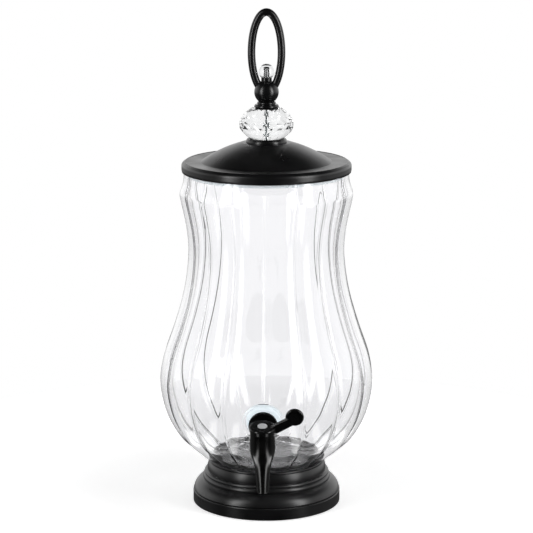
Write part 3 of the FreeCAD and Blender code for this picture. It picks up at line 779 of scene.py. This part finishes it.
def foot_ripple(material):
    """Slow noise that is there only on the jar's foot, just over the base."""
    tree = material.node_tree
    ripple = maths(tree, "MULTIPLY", noise(material, RIPPLE_SCALE, detail=1.0), FOOT_RIPPLE)
    height = place_in(tree, "Object")["Z"]
    near_foot = fade(tree, height, RIPPLE_FADE, RIPPLE_END, 1.0, 0.0, STRAIGHT)
    return maths(tree, "MULTIPLY", ripple, near_foot)


# %% [markdown]
# ## The jar's glass
# Pressed soda glass bends light with an index of 1.5, and a thick wall of it looks faintly blue.
# The jar could stay three pieces, as in the engineering model, but clear glass shows every seam, so
# the jar made here replaces them all. It rides on the same body as they do, and its own material
# slot holds the glass.

# %% The jar's glass
JAR_TINT = (0.985, 0.985, 0.995)
JAR_IOR = 1.5
JAR_WAVE_HEIGHT = 0.00004
JAR_SMEAR = 0.012
MARK_DEPTH = 0.00035

jar_glass, jar_shader, jar_wave = clear_glass(
    "jar_pressed_glass", JAR_TINT, JAR_IOR, JAR_WAVE_HEIGHT, JAR_SMEAR)
marks = maths(jar_glass.node_tree, "SUBTRACT", foot_ripple(jar_glass), crease_grooves(jar_glass))
relief(jar_glass, jar_shader, marks, MARK_DEPTH, under=jar_wave)
jar.data.materials.clear()
jar.data.materials.append(jar_glass)
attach(jar, "dispenser")
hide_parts("glass_foot", "glass_belly", "glass_neck")
print("the jar wears", jar_glass.name)

# %% [markdown]
# ## The cut crystal
# The bead on the lid is lead crystal, cut into staggered rows of flat facets. Smooth shading
# would melt them together, and they must stay flat, because each one throws its own glint.
# So the engineering model's own pieces are kept, with its sharp edges, and only get the
# material. Lead gives it a higher refractive index than the jar's. The small ball inside the
# ring is the same crystal, polished round.

# %% The cut crystal
CRYSTAL_TINT = (0.98, 0.985, 0.99)
CRYSTAL_IOR = 1.6
CRYSTAL_WAVE_HEIGHT = 0.00001
CRYSTAL_SMEAR = 0.01

crystal, _, _ = clear_glass(
    "cut_crystal", CRYSTAL_TINT, CRYSTAL_IOR, CRYSTAL_WAVE_HEIGHT, CRYSTAL_SMEAR)
dress(crystal, "crystal_rondelle", "crystal_bead")

# %% [markdown]
# ## White card
# The floor is white card. Lamps strong enough to make it pure white would wash out the black
# paint. So its colour does one part, and a little light of its own that only the camera sees
# does the rest. The lamps' light on it is kept, so the soft shadow at the foot stays, and
# the card's own light grows outwards past that shadow. Seen through the glass, the card has
# a level of its own. To all other rays it is a darker card, so it throws little light up at
# the base, and polished pieces mirror the room's dark floor instead.

# %% White card
FLOOR_GLOW = 0.6
FLOOR_GLOW_FAR = 0.85
GLOW_SPAN = (0.15, 0.4)  # metres from the middle of the floor
FLOOR_THROUGH_GLASS = 0.8
PAPER_SEEN = 0.9
PAPER_UNSEEN = 0.25


def white_card(name):
    material = bpy.data.materials.new(name)
    material.use_nodes = True
    tree = material.node_tree
    tree.nodes.remove(tree.nodes["Principled BSDF"])
    path = tree.nodes.new("ShaderNodeLightPath")
    seen, through_glass = path.outputs["Is Camera Ray"], path.outputs["Is Transmission Ray"]

    paper = tree.nodes.new("ShaderNodeBsdfDiffuse")
    whiteness = fade(tree, seen, 0.0, 1.0, PAPER_UNSEEN, PAPER_SEEN, STRAIGHT)
    tree.links.new(whiteness, paper.inputs["Color"])

    place = tree.nodes.new("ShaderNodeTexCoord")
    reach = tree.nodes.new("ShaderNodeVectorMath")
    reach.operation = "LENGTH"
    tree.links.new(place.outputs["Object"], reach.inputs[0])
    outwards = fade(tree, reach.outputs["Value"], *GLOW_SPAN, FLOOR_GLOW, FLOOR_GLOW_FAR)
    own_light = maths(tree, "MAXIMUM", maths(tree, "MULTIPLY", seen, outwards),
                      maths(tree, "MULTIPLY", through_glass, FLOOR_THROUGH_GLASS))
    glow = tree.nodes.new("ShaderNodeEmission")
    tree.links.new(own_light, glow.inputs["Strength"])

    both = tree.nodes.new("ShaderNodeAddShader")
    tree.links.new(paper.outputs["BSDF"], both.inputs[0])
    tree.links.new(glow.outputs["Emission"], both.inputs[1])
    tree.links.new(both.outputs["Shader"], tree.nodes["Material Output"].inputs["Surface"])
    return material


# %% [markdown]
# ## The white floor
# A round sheet of card lies just under the dispenser. A backdrop that curves up behind it is common
# in a studio, but here the room itself is white, so one flat face is enough. The floor belongs to
# the stage and not to the dispenser.

# %% The white floor
FLOOR_RADIUS = 0.53
FLOOR_DROP = 0.0002  # keeps the card just clear of the base's pad

nothing_selected()
bpy.ops.mesh.primitive_circle_add(vertices=ROUND_STEPS, radius=FLOOR_RADIUS, fill_type="NGON",
                                  location=(0.0, 0.0, -FLOOR_DROP))
floor = bpy.context.object
floor.name = "floor"
floor.data.materials.append(white_card("white_card"))
floor.visible_glossy = False
print("floor is", 2 * FLOOR_RADIUS, "m across")

# %% [markdown]
# ## The room, seen through the glass
# Clear glass shows nothing but the room behind it. A picture of a studio could be wrapped
# round the scene, but a few fades over the direction of the view say the same, and they are
# easy to change. X, Y and Z of a direction run from -1 to 1, and Z is 0 on the level.
# Straight ahead on each of its four sides the room is white. It is a little grey in the
# corners between them, and dark high over the jar. At a crease the glass bends the view far
# round, and there these darker parts draw its thin grey lines.

# %% The room, seen through the glass
CORNER_LEVEL = 0.8
CORNER_SPAN = (0.5, 0.95)
OVER_JAR = 0.1
OVER_JAR_SPAN = (0.3, 0.6)

world = bpy.data.worlds.new("studio")
bpy.context.scene.world = world
world.use_nodes = True
studio = world.node_tree
view = place_in(studio, "Generated")

sideways = maths(studio, "ABSOLUTE", view["X"])
straight_on = maths(studio, "MAXIMUM", sideways, maths(studio, "ABSOLUTE", view["Y"]))
sides = fade(studio, straight_on, *CORNER_SPAN, CORNER_LEVEL, 1.0)
over_jar = fade(studio, view["Z"], *OVER_JAR_SPAN, 1.0, OVER_JAR)
clear_room = maths(studio, "MULTIPLY", sides, over_jar)
print("nodes for the view through the glass:", len(studio.nodes))

# %% [markdown]
# ## The room, mirrored in black
# Polished black shows the white backdrop at its edges and a dark room where it faces the
# camera. With white all round, black paint would look grey, and with no room at all it would
# be a flat black shape. So the mirrored room is bright behind the dispenser and dark in
# front of it, above it and below it. Two low cards at the sides draw the streaks that run
# down the spout. This room also gives the dispenser its even light.

# %% The room, mirrored in black
ROOM_FRONT = 0.01
ROOM_BACK = 1.15
BACKDROP_SPAN = (-0.35, 0.15)
CEILING = 0.02
CEILING_SPAN = (0.32, 0.68)
FLOOR_MIRRORED = 0.08
FLOOR_SPAN = (-0.25, -0.02)
LOW_CARDS = 3.0
CARD_SIDES = (0.42, 0.5, 0.62, 0.7)  # from nothing to full, then from full to nothing
CARD_HEIGHTS = (-0.95, -0.85, -0.68, -0.6)


def band(tree, value, start, full, fading, end):
    """1 in the middle of a band and 0 outside it, with two soft edges."""
    rise = fade(tree, value, start, full, 0.0, 1.0)
    fall = fade(tree, value, fading, end, 1.0, 0.0)
    return maths(tree, "MULTIPLY", rise, fall)


backdrop = fade(studio, view["Y"], *BACKDROP_SPAN, ROOM_FRONT, ROOM_BACK)
below_ceiling = fade(studio, view["Z"], *CEILING_SPAN, 1.0, CEILING)
above_floor = fade(studio, view["Z"], *FLOOR_SPAN, FLOOR_MIRRORED, 1.0)
walls = maths(studio, "MULTIPLY", maths(studio, "MULTIPLY", backdrop, below_ceiling), above_floor)
card_width = band(studio, sideways, *CARD_SIDES)
card_height = band(studio, view["Z"], *CARD_HEIGHTS)
cards = maths(studio, "MULTIPLY", maths(studio, "MULTIPLY", card_width, card_height), LOW_CARDS)
dark_room = maths(studio, "ADD", walls, cards)
print("nodes for both rooms:", len(studio.nodes))

# %% [markdown]
# ## A room for each kind of ray
# One even white world would be simpler, but it can't be white behind the dispenser, clear in
# the glass and dark in the paint at once. The Light Path node tells which kind of ray looks
# at the room. The camera itself sees plain white, rays that came through glass see the clear
# room, and all others see the dark one.

# %% A room for each kind of ray
WHITE = 1.0


def choose(tree, switch, when_off, when_on):
    """One level or the other, by a switch that is 0 or 1."""
    pick = tree.nodes.new("ShaderNodeMix")
    pick.data_type = "FLOAT"
    for socket, value in (("Factor", switch), ("A", when_off), ("B", when_on)):
        feed(tree, pick.inputs[socket], value)
    return pick.outputs["Result"]


path = studio.nodes.new("ShaderNodeLightPath")
room = choose(studio, path.outputs["Is Transmission Ray"], dark_room, clear_room)
room = choose(studio, path.outputs["Is Camera Ray"], room, WHITE)
light = studio.nodes["Background"]
light.inputs["Color"].default_value = (1.0, 1.0, 1.0, 1.0)
studio.links.new(room, light.inputs["Strength"])
print("nodes in the studio:", len(studio.nodes))

# %% [markdown]
# ## The cloth of a soft box
# A bare area lamp is equally bright all over and leaves streaks with hard edges. The cloth
# of a real soft box is brightest in its middle. A picture of one could be laid on the lamp,
# but the lamp's own coordinates, which run from 0 to 1 across it and up it, are enough: each
# lamp fades from its middle towards its four edges.

# %% The cloth of a soft box
CLOTH_EDGE = 0.45


def soft_cloth(lamp):
    """Fades a lamp from its middle to its edges, along its width and its height."""
    lamp.use_nodes = True
    tree = lamp.node_tree
    spot = tree.nodes.new("ShaderNodeNewGeometry")
    side = tree.nodes.new("ShaderNodeSeparateXYZ")
    tree.links.new(spot.outputs["Parametric"], side.inputs["Vector"])
    fades = [fade(tree, maths(tree, "PINGPONG", side.outputs[axis], 0.5), 0.0, CLOTH_EDGE, 0.0, 1.0)
             for axis in ("X", "Y")]
    tree.links.new(maths(tree, "MULTIPLY", *fades), tree.nodes["Emission"].inputs["Strength"])


# %% [markdown]
# ## The lamps
# Two tall soft boxes stand left and right of the camera. They draw the long upright streaks
# on the black paint and on the glass. A third lamp would fill the shadow, but the room does
# that already. Each is set by its angle about the jar, 0 being the front, and aims at the
# jar's middle height.

# %% The lamps
AIM = Vector((0.0, 0.0, 0.27))
LAMP_LIFT = math.radians(15.0)
LAMP_DISTANCE = 1.7
LAMP_HEIGHT = 2.9


def soft_box(name, azimuth, width, power):
    lamp = bpy.data.lights.new(name, "AREA")
    lamp.shape = "RECTANGLE"
    lamp.size = width
    lamp.size_y = LAMP_HEIGHT
    lamp.energy = power
    soft_cloth(lamp)
    stand = bpy.data.objects.new(name, lamp)
    bpy.context.scene.collection.objects.link(stand)
    turn, out = math.radians(azimuth), math.cos(LAMP_LIFT)
    reach = Vector((math.sin(turn) * out, -math.cos(turn) * out, math.sin(LAMP_LIFT)))
    stand.location = AIM + reach * LAMP_DISTANCE
    stand.rotation_euler = (-reach).to_track_quat("-Z", "Y").to_euler()
    stand.visible_camera = False
    print(name, "at", [round(c, 2) for c in stand.location])


soft_box("soft_box_left", azimuth=-48.0, width=0.6, power=52.0)
soft_box("soft_box_right", azimuth=57.0, width=0.75, power=66.0)
